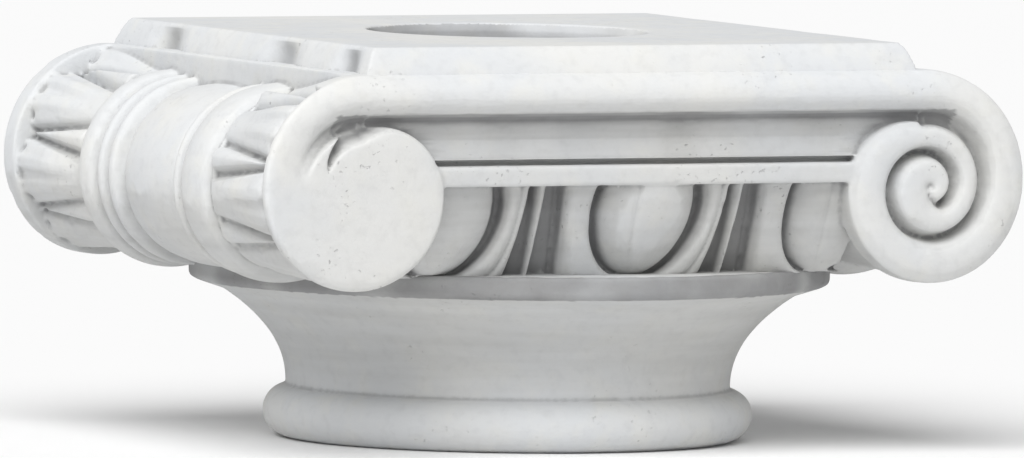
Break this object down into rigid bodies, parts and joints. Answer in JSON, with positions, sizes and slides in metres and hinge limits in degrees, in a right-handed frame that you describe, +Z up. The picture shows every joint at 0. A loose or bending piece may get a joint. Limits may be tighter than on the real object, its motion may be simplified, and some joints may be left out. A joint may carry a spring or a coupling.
{
  "type": "ionic capital",
  "caption": "Pale stone Ionic column capital: round neck on an astragal, egg and dart between volutes, banded leafy bolsters, square abacus with a shallow round recess.",
  "frame": {"origin": "centre of the flat underside, where the column shaft's axis meets it", "axes": "+Z up along the shaft's axis, front with the egg and dart faces -Y, +X from the left volutes to the right ones, bolsters lie along Y"},
  "size_m": [0.571, 0.44, 0.2796],
  "materials": {
    "stone": "matt, weathered, with fine pits and faint streaks"
  },
  "bodies": {
    "root": {"capital": "stone"}
  },
  "joints": []
}
